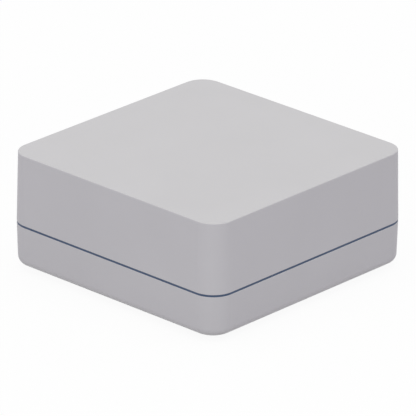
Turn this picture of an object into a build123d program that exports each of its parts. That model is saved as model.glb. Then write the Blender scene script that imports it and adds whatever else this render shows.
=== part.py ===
from build123d import *
import os
from math import radians, tan

# Square table-top signal repeater: a drafted two-part housing closed on a flush seam gasket, with one
# circuit board inside, and the power port, pairing button and status light in its rear wall.
# Millimetres. +Z is up, the origin is on the table under the middle, and the rear wall faces +Y.

# Whole object
width = 70.0                  # across X at the seam, where the drafted walls are widest
depth = 70.0                  # across Y at the seam
height = 30.9                 # table to the flat top
foot_stand = 1.2              # what the feet hold the base off the table
seam_gap = 0.55
corner_radius = 6.0           # vertical corners, at the seam
upper_draft = 1.3             # degrees, walls lean in towards the top
base_draft = 1.7              # degrees, walls lean in towards the table
top_edge_radius = 0.25
rim_edge_radius = 0.12        # outer edges of both shells at the seam
bottom_edge_radius = 2.1
inner_edge_chamfer = 0.8

# Housing walls and the tongue-and-groove seam
wall = 2.0
base_floor = 1.8
roof = 2.0
rim_ledge = 1.0               # width of the base's rim outside its tongue
tongue_root = 1.0             # below the rim
tongue_height = 2.4           # above the rim
tongue_lead_in = 0.25
tongue_side_gap = 0.1
tongue_end_gap = 0.2
gasket_setback = 0.1          # the gasket's edge lies just inside the walls
gasket_tongue_gap = 0.05
rib_thickness = 1.2
rib_below_seam = 1.2          # clear of the seam, for the ribs of the bosses
roof_rib_pitch = 22.0
roof_rib_depth = 1.5

# Housing screws, their bosses, and the feet that cover them
boss_to_wall = 6.5            # boss axis to the inner wall
boss_diameter = 6.4
boss_foot_diameter = 8.4
screw_head_diameter = 5.0
screw_head_height = 2.0
screw_diameter = 2.6
screw_length = 12.0
screw_head_chamfer = 0.6
screw_tip_chamfer = 0.5
drive_span = 0.56             # cross recess over the head's diameter
drive_slot = 0.15             # width of its slots over the head's diameter
drive_depth = 0.6             # its depth over the head's height
screw_hole_gap = 0.2          # radial, through the base
thread_gap = 0.03             # radial, in the formed thread of the upper boss
counterbore_gap = 0.2         # radial, round the head
head_to_foot_gap = 0.6
seat_thickness = 1.2          # plastic between the head's seat and the boss's shoulder
pilot_tip_gap = 1.5
foot_diameter = 9.0
foot_recess = 0.8
foot_side_gap = 0.1
foot_edge_chamfer = 0.5

# Keyholes for two wall screws, with the narrow end towards the front so that the port hangs lowest
keyhole_pitch = 40.0
keyhole_entry_diameter = 8.0
keyhole_slot_width = 4.0
keyhole_travel = 7.0
keyhole_pocket_depth = 2.4    # room for the screw head above the floor
keyhole_pocket_gap = 0.2      # pocket wall to the entry's edge
keyhole_pocket_wall = 1.0
keyhole_pocket_roof = 0.8

# Circuit board
board_over_pocket = 0.2
board_thickness = 1.6
board_side_gap = 3.0          # board edge to the inner wall
board_corner_radius = 1.5
board_notch_gap = 1.3         # round the housing bosses
board_screw_inset_x = 11.0
board_screw_inset_y = 6.5
board_screw_diameter = 2.3
board_screw_length = 5.0
board_screw_head_diameter = 4.4
board_screw_head_height = 1.5
board_screw_head_chamfer = 0.4
board_screw_tip_chamfer = 0.4
board_screw_hole_gap = 0.15
standoff_diameter = 5.6
standoff_tip_gap = 0.4

# Rear wall: power port in the middle, button and light one pitch to either side
port_axis_rise = 0.8          # above the board's top face
port_to_rim = 1.3            # plastic between the port's opening and the base's rim
port_lead_in = 0.3            # flare of the opening's outer edge
rear_pitch = 13.0
port_mouth_setback = 0.7      # port mouth behind the outer wall
port_width = 8.94
port_height = 3.26
port_length = 7.35
port_sheet = 0.3
port_cavity_depth = 6.2
port_wall_gap = 0.25
port_board_gap = 0.2
port_wing_length = 1.4
port_wing_depth = 2.0
port_leg_width = 1.2
tongue_plate_width = 6.69
tongue_plate_thickness = 0.7
tongue_plate_length = 4.6
tongue_plate_chamfer = 0.15
contact_count = 12            # on each face of the port's tongue
contact_pitch = 0.5
contact_width = 0.25
contact_length = 3.6
contact_thickness = 0.07
insulator_gap = 0.02

button_diameter = 3.9
button_hole_gap = 0.08
button_setback = 0.2
button_dish_depth = 0.25
button_edge_chamfer = 0.25
button_flange_diameter = 5.6
button_flange_thickness = 0.8
button_flange_gap = 0.15
button_stem_diameter = 2.2
button_travel = 0.3

switch_width = 4.4
switch_depth = 3.0
switch_height = 1.6
switch_cover_sheet = 0.15
plunger_width = 1.8
plunger_height = 0.8
plunger_reach = 1.0           # beyond the switch's face
plunger_tail = 0.8            # inside the switch
plunger_side_gap = 0.05
plunger_chamfer = 0.15
plunger_tip_gap = 0.02        # to the button's stem

light_diameter = 2.4
light_hole_gap = 0.02
light_setback = 0.1
light_dome = 0.25
light_collar_diameter = 3.6
light_collar_thickness = 0.8
light_collar_gap = 0.12
light_rod_diameter = 1.3
light_rod_gap = 0.1
led_width = 3.0
led_depth = 1.5
led_height = 1.6
led_window_depth = 0.25

# Radio and logic, placed from the board's middle
shield_length = 20.0
shield_width = 15.0
shield_height = 1.8
shield_sheet = 0.25
shield_lid_gap = 0.05
shield_skirt = 1.2
shield_edge_radius = 0.2
shield_x = -10.0
shield_y = -8.5
radio_size = 6.0
radio_height = 0.9
radio_to_fence = 2.5
crystal_length = 3.2
crystal_width = 2.5
crystal_height = 0.8
crystal_corner_radius = 0.4
crystal_to_fence = 4.0
filter_size = 2.0
filter_height = 0.7
filter_to_fence = 2.0
processor_size = 7.0
processor_height = 1.4
processor_x = 11.0
processor_y = -6.0
processor_lead_count = 8      # on each side
processor_lead_pitch = 0.65
memory_length = 4.9
memory_width = 3.9
memory_height = 1.5
memory_x = 11.0
memory_y = -16.0
memory_lead_count = 4         # on each long side
memory_lead_pitch = 1.27
lead_width = 0.3
lead_reach = 1.0
lead_foot = 0.5
lead_sheet = 0.15
package_lift = 0.1
package_bevel = 0.15
pin_one_diameter = 0.5
pin_one_depth = 0.15
pin_one_inset = 0.8

# Power supply, placed from the board's middle
inductor_size = 5.0
inductor_height = 3.0
inductor_corner = 0.8
inductor_window_diameter = 3.6
inductor_window_depth = 0.3
inductor_x = -1.0
inductor_y = 11.0
regulator_size = 3.0
regulator_height = 1.0
regulator_x = 5.0
regulator_y = 12.0
fuse_length = 4.5
fuse_width = 3.2
fuse_height = 0.9
fuse_x = -7.0
fuse_y = 18.5
surge_length = 3.0
surge_width = 1.7
surge_height = 1.1
surge_x = 3.0
surge_y = 19.0
surge_lead_count = 3          # on each long side
surge_lead_pitch = 0.95
can_diameter = 6.3
can_height = 7.7
can_base_size = 6.6
can_base_height = 1.2
can_base_corner = 1.1
can_edge_chamfer = 0.4
can_groove_depth = 0.35
can_groove_height = 0.9
can_groove_rise = 1.2         # above the base plate
can_pitch = 8.2
can_x = -12.0
can_y = 8.0
small_capacitor_length = 1.6
small_capacitor_width = 0.8
small_capacitor_height = 0.8
small_resistor_length = 1.0
small_resistor_width = 0.5
small_resistor_height = 0.35
small_part_pitch = 1.6
small_row_gap = 3.0           # from the row's middle to the part that it serves
processor_capacitor_count = 6
regulator_capacitor_count = 3
resistor_count = 8

# Stamped antennas, one along the front edge and one along the left edge
antenna_length = 28.0
antenna_height = 12.0
antenna_arm = 3.5
antenna_flange = 4.0
antenna_sheet = 0.4
antenna_bend_radius = 0.8
antenna_edge_gap = 2.2
antenna_leg_width = 1.2
antenna_ground_width = 2.4
antenna_feed_spacing = 5.0
antenna_leg_tail = 0.3        # below the board
antenna_hole_gap = 0.1

# Heights that follow
base_bottom = foot_stand
floor_top = base_bottom + base_floor
pocket_top = floor_top + keyhole_pocket_depth + keyhole_pocket_roof
board_bottom = pocket_top + board_over_pocket
board_top = board_bottom + board_thickness
port_axis = board_top + port_axis_rise
base_rim = port_axis + port_height / 2 + port_wall_gap + port_to_rim
seam_height = base_rim + seam_gap / 2
upper_rim = base_rim + seam_gap
tongue_top = base_rim + tongue_height
groove_top = tongue_top + tongue_end_gap
ceiling = height - roof
floor_middle = base_bottom + base_floor / 2
roof_middle = ceiling + roof / 2
recess_top = base_bottom + foot_recess
head_bottom = recess_top + head_to_foot_gap
head_seat = head_bottom + screw_head_height
screw_tip = head_seat + screw_length

# Plan positions that follow
boss_x = width / 2 - wall - boss_to_wall
boss_y = depth / 2 - wall - boss_to_wall
board_half_x = width / 2 - wall - board_side_gap
board_half_y = depth / 2 - wall - board_side_gap
board_screw_x = board_half_x - board_screw_inset_x
board_screw_y = board_half_y - board_screw_inset_y
rear_draft_inset = (base_rim - port_axis) * tan(radians(base_draft))
rear_outside = depth / 2 - rear_draft_inset
rear_inside = rear_outside - wall
port_mouth = rear_outside - port_mouth_setback
port_back = port_mouth - port_length
plunger_tip = board_half_y + plunger_reach

STANDING = (Align.CENTER, Align.CENTER, Align.MIN)
HANGING = (Align.CENTER, Align.CENTER, Align.MAX)


def standing_cylinder(diameter, bottom, top):
    return Pos(0, 0, bottom) * Cylinder(diameter / 2, top - bottom, align=STANDING)


def standing_box(length, breadth, bottom, top):
    return Pos(0, 0, bottom) * Box(length, breadth, top - bottom, align=STANDING)


def at_housing_screws(shape):
    return [spot * shape for spot in GridLocations(2 * boss_x, 2 * boss_y, 2, 2)]


def at_board_screws(shape):
    return [spot * shape for spot in GridLocations(2 * board_screw_x, 2 * board_screw_y, 2, 2)]


def rear_facing(x, y, shape):
    """The shape's own +Z turned to point out of the rear wall, on the port's axis height."""
    return Pos(x, y, port_axis) * Rot(-90, 0, 0) * shape


def plan_outline(inset):
    """The housing's outline at the seam, offset inwards."""
    return RectangleRounded(width - 2 * inset, depth - 2 * inset, corner_radius - inset)


def upright_block(inset, bottom, top):
    return extrude(Pos(0, 0, bottom) * plan_outline(inset), top - bottom)


def upper_block(inset, top):
    """A solid from the upper rim to top, leaning in with the upper walls."""
    return extrude(Pos(0, 0, upper_rim) * plan_outline(inset), top - upper_rim, taper=upper_draft)


def base_block(inset, bottom):
    """A solid from the base's rim down to bottom, leaning in with the base's walls."""
    outline = Plane(origin=(0, 0, base_rim), x_dir=(1, 0, 0), z_dir=(0, 0, -1)) * plan_outline(inset)
    return extrude(outline, base_rim - bottom, taper=base_draft)


def end_edges(shape, face_side):
    """Edges round the shape's lowest (0) or highest (-1) face."""
    return shape.faces().sort_by(Axis.Z)[face_side].edges()


def boss_ribs(bottom, top):
    """Two ribs from a boss at the middle to beyond the walls at its +X and +Y sides."""
    rib = Pos(0, 0, bottom) * Box(
        boss_to_wall + 2 * wall, rib_thickness, top - bottom, align=(Align.MIN, Align.CENTER, Align.MIN)
    )
    return rib + Rot(0, 0, 90) * rib


def in_corners(shape):
    """Copies of a shape made for the +X +Y corner boss, mirrored into all four corners."""
    corner = Pos(boss_x, boss_y, 0) * shape
    pair = corner + mirror(corner, Plane.YZ)
    return pair + mirror(pair, Plane.XZ)


def keyhole_run(diameter):
    """Sketch of the screw head's way, from the entry at the middle forwards to where it hangs."""
    return Pos(0, -keyhole_travel / 2) * Rot(0, 0, 90) * SlotOverall(keyhole_travel + diameter, diameter)


def keyhole_pocket():
    """Closed cup over a keyhole, so that a wall screw can't reach the board."""
    bore = keyhole_entry_diameter + 2 * keyhole_pocket_gap
    outside = keyhole_run(bore + 2 * keyhole_pocket_wall)
    cup = extrude(Pos(0, 0, floor_middle) * outside, pocket_top - floor_middle)
    return cup - extrude(Pos(0, 0, floor_top) * keyhole_run(bore), keyhole_pocket_depth)


def keyhole_cut():
    """Round entry and narrow slot through the floor."""
    entry = standing_cylinder(keyhole_entry_diameter, 0, floor_top)
    return entry + extrude(keyhole_run(keyhole_slot_width), floor_top)


def at_keyholes(shape):
    return [Pos(side * keyhole_pitch / 2, keyhole_travel / 2, 0) * shape for side in (-1, 1)]


def base_housing():
    outside = fillet(end_edges(base_block(0, base_bottom), 0), bottom_edge_radius)
    outside = fillet(end_edges(outside, -1), rim_edge_radius)
    shell = outside - chamfer(end_edges(base_block(wall, floor_top), 0), inner_edge_chamfer)
    shell += in_corners(boss_ribs(floor_middle, base_rim - rib_below_seam)) & outside

    tongue = upright_block(rim_ledge, base_rim - tongue_root, tongue_top)
    tongue = chamfer(end_edges(tongue, -1), tongue_lead_in)
    shell += tongue - upright_block(wall, base_rim - tongue_root, tongue_top)

    boss = standing_cylinder(boss_diameter, recess_top, seam_height)
    boss += standing_cylinder(boss_foot_diameter, recess_top, head_seat + seat_thickness)
    shell += at_housing_screws(boss)
    screw_way = standing_cylinder(foot_diameter + 2 * foot_side_gap, 0, recess_top)
    screw_way += standing_cylinder(screw_head_diameter + 2 * counterbore_gap, 0, head_seat)
    screw_way += standing_cylinder(screw_diameter + 2 * screw_hole_gap, 0, seam_height)
    shell -= at_housing_screws(screw_way)

    shell += at_board_screws(standing_cylinder(standoff_diameter, floor_middle, board_bottom))
    pilot_end = board_top - board_screw_length - standoff_tip_gap
    shell -= at_board_screws(
        standing_cylinder(board_screw_diameter + 2 * thread_gap, pilot_end, board_bottom)
    )

    shell += at_keyholes(keyhole_pocket())
    shell -= at_keyholes(keyhole_cut())
    return shell - rear_openings()


def rear_openings():
    """Cuts through the rear wall for the port, the button and the light."""
    start = rear_inside - wall / 2
    port_outline = SlotOverall(port_width + 2 * port_wall_gap, port_height + 2 * port_wall_gap)
    port = extrude(port_outline, 2 * wall)
    port_flare = extrude(port_outline, 2 * port_lead_in, taper=-45)
    button = Cylinder(button_diameter / 2 + button_hole_gap, 2 * wall, align=STANDING)
    light = Cylinder(light_diameter / 2 + light_hole_gap, 2 * wall, align=STANDING)
    return [
        rear_facing(0, start, port),
        rear_facing(0, rear_outside - port_lead_in, port_flare),
        rear_facing(rear_pitch, start, button),
        rear_facing(-rear_pitch, start, light),
    ]


def roof_ribs():
    """Crossed ribs under the roof, from wall to wall."""
    bottom = ceiling - roof_rib_depth
    along_x = standing_box(width, rib_thickness, bottom, roof_middle)
    along_y = standing_box(rib_thickness, depth, bottom, roof_middle)
    sides = (-roof_rib_pitch / 2, roof_rib_pitch / 2)
    return [Pos(0, side, 0) * along_x for side in sides] + [Pos(side, 0, 0) * along_y for side in sides]


def upper_housing():
    outside = fillet(end_edges(upper_block(0, height), -1), top_edge_radius)
    outside = fillet(end_edges(outside, 0), rim_edge_radius)
    shell = outside - chamfer(end_edges(upper_block(wall, ceiling), -1), inner_edge_chamfer)
    shell += in_corners(boss_ribs(groove_top + rib_below_seam, roof_middle)) & outside
    for rib in roof_ribs():
        shell += rib & outside
    shell -= upright_block(rim_ledge - tongue_side_gap, upper_rim, groove_top)

    shell += at_housing_screws(standing_cylinder(boss_diameter, seam_height, roof_middle))
    pilot_end = screw_tip + pilot_tip_gap
    pilot = standing_cylinder(screw_diameter + 2 * thread_gap, seam_height, pilot_end)
    return shell - at_housing_screws(pilot)


def seam_gasket():
    outside = upright_block(gasket_setback, base_rim, upper_rim)
    return outside - upright_block(rim_ledge - gasket_tongue_gap, base_rim, upper_rim)


def rubber_feet():
    foot = standing_cylinder(foot_diameter, 0, recess_top)
    return at_housing_screws(chamfer(end_edges(foot, 0), foot_edge_chamfer))


def screw_head(diameter, tall, edge_chamfer):
    """Head that hangs from its seat at the origin, with a cross recess."""
    head = Cylinder(diameter / 2, tall, align=HANGING)
    head = chamfer(end_edges(head, 0), edge_chamfer)
    slot = Box(drive_span * diameter, drive_slot * diameter, drive_depth * tall, align=STANDING)
    return head - Pos(0, 0, -tall) * (slot + Rot(0, 0, 90) * slot)


def screw_shank(diameter, length, tip_chamfer):
    shank = Cylinder(diameter / 2, length, align=STANDING)
    return chamfer(end_edges(shank, -1), tip_chamfer)


def housing_screws():
    screw = screw_head(screw_head_diameter, screw_head_height, screw_head_chamfer)
    screw += screw_shank(screw_diameter, screw_length, screw_tip_chamfer)
    return at_housing_screws(Pos(0, 0, head_seat) * screw)


def board_screws():
    screw = screw_head(board_screw_head_diameter, board_screw_head_height, board_screw_head_chamfer)
    screw += screw_shank(board_screw_diameter, board_screw_length, board_screw_tip_chamfer)
    return at_board_screws(Pos(0, 0, board_top) * Rot(180, 0, 0) * screw)


def main_board():
    plate = extrude(
        Pos(0, 0, board_bottom)
        * RectangleRounded(2 * board_half_x, 2 * board_half_y, board_corner_radius),
        board_thickness,
    )
    notch_reach = boss_diameter / 2 + board_notch_gap
    notch = Pos(-notch_reach, -notch_reach, board_bottom) * Box(
        width, depth, board_thickness, align=(Align.MIN, Align.MIN, Align.MIN)
    )
    notch = fillet(notch.edges().filter_by(Axis.Z).sort_by(Axis.X)[:2].sort_by(Axis.Y)[0], notch_reach / 2)
    plate -= in_corners(notch)

    port_notch = standing_box(
        port_width + 2 * port_board_gap, 2 * (board_half_y - port_back + port_board_gap),
        board_bottom, board_top,
    )
    plate -= Pos(0, board_half_y, 0) * port_notch
    plate -= at_board_screws(standing_cylinder(
        board_screw_diameter + 2 * board_screw_hole_gap, board_bottom, board_top
    ))
    for leg_x in port_leg_places():
        plate -= Pos(leg_x, port_leg_y(), 0) * standing_box(
            port_sheet + 2 * antenna_hole_gap, port_leg_width + 2 * antenna_hole_gap,
            board_bottom, board_top,
        )
    for place in antenna_places():
        for leg_x, leg_width in antenna_legs():
            plate -= place * Pos(leg_x, 0, board_bottom) * Box(
                leg_width + 2 * antenna_hole_gap, antenna_sheet + 2 * antenna_hole_gap,
                board_thickness, align=STANDING,
            )
    return plate


def port_leg_places():
    reach = port_width / 2 + port_wing_length - port_sheet / 2
    return (-reach, reach)


def port_leg_y():
    return port_back + port_wing_depth / 2


def usb_c_shell():
    tube = extrude(SlotOverall(port_width, port_height), port_length)
    bore = extrude(
        SlotOverall(port_width - 2 * port_sheet, port_height - 2 * port_sheet),
        port_length - port_sheet,
    )
    shell = rear_facing(0, port_back, tube - Pos(0, 0, port_sheet) * bore)
    for leg_x in port_leg_places():
        inner_x = (port_width / 2 - port_sheet / 2) * (1 if leg_x > 0 else -1)
        outer_x = leg_x + port_sheet / 2 * (1 if leg_x > 0 else -1)
        wing = standing_box(abs(outer_x - inner_x), port_wing_depth, board_top, board_top + port_sheet)
        shell += Pos((inner_x + outer_x) / 2, port_leg_y(), 0) * wing
        leg = standing_box(port_sheet, port_leg_width, board_bottom, board_top + port_sheet)
        shell += Pos(leg_x, port_leg_y(), 0) * leg
    return shell


def usb_c_insulator():
    block_depth = port_length - port_sheet - port_cavity_depth
    block = extrude(
        SlotOverall(
            port_width - 2 * port_sheet - 2 * insulator_gap,
            port_height - 2 * port_sheet - 2 * insulator_gap,
        ),
        block_depth,
    )
    plate = Pos(0, 0, block_depth) * Box(
        tongue_plate_width, tongue_plate_thickness, tongue_plate_length, align=STANDING
    )
    plate = chamfer(end_edges(plate, -1).filter_by(Axis.X), tongue_plate_chamfer)
    return rear_facing(0, port_back + port_sheet, block + plate)


def usb_c_contacts():
    strip = Box(contact_width, contact_thickness, contact_length, align=STANDING)
    start = port_back + port_length - port_cavity_depth
    lift = (tongue_plate_thickness + contact_thickness) / 2
    return [
        rear_facing(0, start, Pos(column.position.X, side * lift, 0) * strip)
        for side in (-1, 1)
        for column in GridLocations(contact_pitch, 0, contact_count, 1)
    ]


def pairing_button():
    """Turned profile: stem, retaining flange and dished cap, pointing out of the wall."""
    stem_start = plunger_tip + plunger_tip_gap
    flange_front = rear_inside - button_flange_gap
    flange_back = flange_front - button_flange_thickness
    face = rear_outside - button_setback
    body = Cylinder(button_stem_diameter / 2, flange_front - stem_start, align=STANDING)
    body += Pos(0, 0, flange_back - stem_start) * Cylinder(
        button_flange_diameter / 2, button_flange_thickness, align=STANDING
    )
    cap = Cylinder(button_diameter / 2, face - flange_back, align=STANDING)
    cap = chamfer(end_edges(cap, -1), button_edge_chamfer)
    body += Pos(0, 0, flange_back - stem_start) * cap
    dish_chord = button_diameter / 2 - button_edge_chamfer
    dish_radius = (dish_chord**2 + button_dish_depth**2) / (2 * button_dish_depth)
    body -= Pos(0, 0, face - stem_start + dish_radius - button_dish_depth) * Sphere(dish_radius)
    return rear_facing(rear_pitch, stem_start, body)


def switch_body():
    body = standing_box(switch_width, switch_depth, board_top, board_top + switch_height)
    body = Pos(rear_pitch, board_half_y - switch_depth / 2, 0) * body
    slot = Box(
        plunger_width + 2 * plunger_side_gap, plunger_height + 2 * plunger_side_gap,
        plunger_tail + 2 * button_travel, align=HANGING,
    )
    return body - rear_facing(rear_pitch, board_half_y, slot)


def switch_cover():
    top = board_top + switch_height
    plate = standing_box(switch_width, switch_depth, top, top + switch_cover_sheet)
    tabs = [
        Pos(side * (switch_width + switch_cover_sheet) / 2, 0, 0)
        * standing_box(switch_cover_sheet, switch_depth / 2, board_top, top + switch_cover_sheet)
        for side in (-1, 1)
    ]
    return Pos(rear_pitch, board_half_y - switch_depth / 2, 0) * (plate + tabs)


def switch_plunger():
    reach = plunger_tail + plunger_reach
    rod = Box(plunger_width, plunger_height, reach, align=STANDING)
    rod = chamfer(end_edges(rod, -1).filter_by(Axis.X), plunger_chamfer)
    return rear_facing(rear_pitch, board_half_y - plunger_tail, rod)


def status_light_pipe():
    """Turned profile: rod from the lamp, collar inside the wall, domed lens in the wall."""
    lamp_face = board_half_y
    start = lamp_face + light_rod_gap
    collar_front = rear_inside - light_collar_gap
    collar_back = collar_front - light_collar_thickness
    face = rear_outside - light_setback
    pipe = Cylinder(light_rod_diameter / 2, collar_front - start, align=STANDING)
    pipe += Pos(0, 0, collar_back - start) * Cylinder(
        light_collar_diameter / 2, light_collar_thickness, align=STANDING
    )
    lens = Cylinder(light_diameter / 2, face - collar_back, align=STANDING)
    dome_radius = ((light_diameter / 2) ** 2 + light_dome**2) / (2 * light_dome)
    lens &= Pos(0, 0, face - collar_back - dome_radius) * Sphere(dome_radius)
    pipe += Pos(0, 0, collar_back - start) * lens
    return rear_facing(-rear_pitch, start, pipe)


def status_led():
    lamp = standing_box(led_width, led_depth, board_top, board_top + led_height)
    lamp = Pos(-rear_pitch, board_half_y - led_depth / 2, 0) * lamp
    window = Cylinder(light_rod_diameter / 2, led_window_depth, align=HANGING)
    return lamp - rear_facing(-rear_pitch, board_half_y, window)


def package(length, breadth, tall):
    """A moulded chip body standing on the board, bevelled on top, with a dimple at pin one."""
    body = Pos(0, 0, package_lift) * Box(length, breadth, tall - package_lift, align=STANDING)
    body = chamfer(end_edges(body, -1), package_bevel)
    dimple = Cylinder(pin_one_diameter / 2, pin_one_depth, align=HANGING)
    return body - Pos(pin_one_inset - length / 2, pin_one_inset - breadth / 2, tall) * dimple


def lead_row(count, pitch, body_edge, tall):
    """Gull-wing leads down one side of a package, at +X of it."""
    shoulder = tall / 2
    profile = Plane.XZ * make_face(Polyline(
        (body_edge, shoulder + lead_sheet), (body_edge + lead_reach - lead_foot, shoulder + lead_sheet),
        (body_edge + lead_reach - lead_foot + lead_sheet, lead_sheet),
        (body_edge + lead_reach, lead_sheet), (body_edge + lead_reach, 0),
        (body_edge + lead_reach - lead_foot, 0), (body_edge + lead_reach - lead_foot - lead_sheet, shoulder),
        (body_edge, shoulder), close=True,
    ))
    lead = extrude(profile, lead_width / 2, both=True)
    return [spot * lead for spot in GridLocations(0, pitch, 1, count)]


def place_on_board(x, y, shapes):
    return [Pos(x, y, board_top) * shape for shape in (shapes if isinstance(shapes, list) else [shapes])]


def processor_chip():
    return place_on_board(
        processor_x, processor_y, package(processor_size, processor_size, processor_height)
    )


def processor_lead_frame():
    row = lead_row(processor_lead_count, processor_lead_pitch, processor_size / 2, processor_height)
    rows = [Rot(0, 0, quarter * 90) * lead for quarter in range(4) for lead in row]
    return place_on_board(processor_x, processor_y, rows)


def memory_chip():
    return place_on_board(memory_x, memory_y, package(memory_length, memory_width, memory_height))


def memory_lead_frame():
    row = lead_row(memory_lead_count, memory_lead_pitch, memory_width / 2, memory_height)
    rows = [Rot(0, 0, turn) * lead for turn in (90, -90) for lead in row]
    return place_on_board(memory_x, memory_y, rows)


def surge_protector():
    row = lead_row(surge_lead_count, surge_lead_pitch, surge_width / 2, surge_height)
    rows = [Rot(0, 0, turn) * lead for turn in (90, -90) for lead in row]
    return place_on_board(surge_x, surge_y, [package(surge_length, surge_width, surge_height), *rows])


def rf_shield_fence():
    frame = Box(shield_length, shield_width, shield_height, align=STANDING)
    frame -= Box(
        shield_length - 2 * shield_sheet, shield_width - 2 * shield_sheet, shield_height, align=STANDING
    )
    return place_on_board(shield_x, shield_y, frame)


def rf_shield_lid():
    outer_length = shield_length + 2 * (shield_lid_gap + shield_sheet)
    outer_width = shield_width + 2 * (shield_lid_gap + shield_sheet)
    lid = Pos(0, 0, shield_height - shield_skirt) * Box(
        outer_length, outer_width, shield_skirt + shield_sheet, align=STANDING
    )
    lid = fillet(end_edges(lid, -1), shield_edge_radius)
    lid -= Pos(0, 0, shield_height) * Box(
        shield_length + 2 * shield_lid_gap, shield_width + 2 * shield_lid_gap, shield_height, align=HANGING
    )
    return place_on_board(shield_x, shield_y, lid)


def radio_chip():
    radio_x = shield_x - (shield_length - radio_size) / 2 + radio_to_fence
    return place_on_board(radio_x, shield_y, package(radio_size, radio_size, radio_height))


def crystal_can():
    can = Box(crystal_length, crystal_width, crystal_height, align=STANDING)
    can = fillet(can.edges().filter_by(Axis.Z), crystal_corner_radius)
    crystal_x = shield_x + (shield_length - crystal_length) / 2 - crystal_to_fence
    return place_on_board(crystal_x, shield_y, can)


def antenna_filter():
    filter_y = shield_y + (shield_width - filter_size) / 2 - filter_to_fence
    return place_on_board(shield_x, filter_y, Box(filter_size, filter_size, filter_height, align=STANDING))


def power_inductor():
    core = Box(inductor_size, inductor_size, inductor_height, align=STANDING)
    core = chamfer(core.edges().filter_by(Axis.Z), inductor_corner)
    window = Cylinder(inductor_window_diameter / 2, inductor_window_depth, align=HANGING)
    return place_on_board(inductor_x, inductor_y, core - Pos(0, 0, inductor_height) * window)


def voltage_regulator():
    return place_on_board(
        regulator_x, regulator_y, package(regulator_size, regulator_size, regulator_height)
    )


def resettable_fuse():
    body = Box(fuse_length, fuse_width, fuse_height, align=STANDING)
    return place_on_board(fuse_x, fuse_y, body)


def at_cans(shape):
    return [
        Pos(can_x, can_y, board_top) * spot * shape for spot in GridLocations(can_pitch, 0, 2, 1)
    ]


def capacitor_cans():
    """Turned profile: a drawn can that is crimped in above its base plate."""
    radius = can_diameter / 2
    groove_start = can_base_height + can_groove_rise
    profile = Plane.XZ * make_face(Polyline(
        (0, can_base_height), (radius, can_base_height), (radius, groove_start),
        (radius - can_groove_depth, groove_start + can_groove_height / 2),
        (radius, groove_start + can_groove_height), (radius, can_height - can_edge_chamfer),
        (radius - can_edge_chamfer, can_height), (0, can_height), close=True,
    ))
    return at_cans(revolve(profile, Axis.Z))


def capacitor_bases():
    plate = Box(can_base_size, can_base_size, can_base_height, align=STANDING)
    plate = chamfer(plate.edges().filter_by(Axis.Z).sort_by(Axis.X)[-2:], can_base_corner)
    return at_cans(plate)


def small_capacitors():
    body = Box(small_capacitor_width, small_capacitor_length, small_capacitor_height, align=STANDING)
    row_y = processor_y + processor_size / 2 + lead_reach + small_row_gap
    beside_processor = [
        Pos(processor_x, row_y) * spot * body
        for spot in GridLocations(small_part_pitch, 0, processor_capacitor_count, 1)
    ]
    column_x = regulator_x + regulator_size / 2 + small_row_gap
    beside_regulator = [
        Pos(column_x, regulator_y) * Rot(0, 0, 90) * spot * body
        for spot in GridLocations(small_part_pitch, 0, regulator_capacitor_count, 1)
    ]
    return place_on_board(0, 0, beside_processor + beside_regulator)


def small_resistors():
    body = Box(small_resistor_width, small_resistor_length, small_resistor_height, align=STANDING)
    row_y = shield_y - shield_width / 2 - small_row_gap
    row = [
        Pos(shield_x, row_y) * spot * body
        for spot in GridLocations(small_part_pitch, 0, resistor_count, 1)
    ]
    return place_on_board(0, 0, row)


def antenna_legs():
    """Ground leg, feed leg and far support leg: middle along the arm, and width."""
    ground_x = -(antenna_length - antenna_ground_width) / 2
    return (
        (ground_x, antenna_ground_width),
        (ground_x + antenna_feed_spacing, antenna_leg_width),
        (antenna_length / 2 - antenna_leg_width / 2, antenna_leg_width),
    )


def antenna_places():
    """Front edge and left edge of the board, each with the antenna's flange leaning inwards."""
    front = Pos(0, -board_half_y + antenna_edge_gap, 0)
    left = Pos(-board_half_x + antenna_edge_gap, 0, 0) * Rot(0, 0, -90)
    return (front, left)


def stamped_antenna():
    """Inverted-F arm with a bent-over flange, standing on three legs through the board."""
    top = board_top + antenna_height
    half_sheet = antenna_sheet / 2
    bend = Plane.YZ * make_face(Polyline(
        (-half_sheet, top - antenna_arm), (-half_sheet, top), (antenna_flange, top),
        (antenna_flange, top - antenna_sheet), (half_sheet, top - antenna_sheet),
        (half_sheet, top - antenna_arm), close=True,
    ))
    arm = extrude(bend, antenna_length / 2, both=True)
    outer_corner = arm.edges().filter_by(Axis.X).group_by(Axis.Z)[-1].sort_by(Axis.Y)[0]
    arm = fillet(outer_corner, antenna_bend_radius)
    for leg_x, leg_width in antenna_legs():
        arm += Pos(leg_x, 0, 0) * standing_box(
            leg_width, antenna_sheet, board_bottom - antenna_leg_tail, top - antenna_arm / 2
        )
    return arm


def front_antenna():
    return antenna_places()[0] * stamped_antenna()


def left_antenna():
    return antenna_places()[1] * stamped_antenna()


SUB_PARTS = (
    base_housing, upper_housing, seam_gasket, rubber_feet, housing_screws, main_board, board_screws,
    usb_c_shell, usb_c_insulator, usb_c_contacts, pairing_button, switch_body, switch_cover,
    switch_plunger, status_light_pipe, status_led, rf_shield_fence, rf_shield_lid, radio_chip,
    crystal_can, antenna_filter, processor_chip, processor_lead_frame, memory_chip, memory_lead_frame,
    power_inductor, voltage_regulator, resettable_fuse, surge_protector, capacitor_cans,
    capacitor_bases, small_capacitors, small_resistors, front_antenna, left_antenna,
)


def write_part(sub_part):
    made = sub_part()
    pieces = made if isinstance(made, list) else [made]
    solids = [solid for piece in pieces for solid in piece.solids()]
    export_step(Compound(children=solids), os.path.join("parts", sub_part.__name__ + ".step"))


os.makedirs("parts", exist_ok=True)
for sub_part in SUB_PARTS:
    write_part(sub_part)
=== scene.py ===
import math

import bmesh
import bpy
from bpy.props import FloatProperty, FloatVectorProperty, PointerProperty
from mathutils import Matrix, Vector


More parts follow.
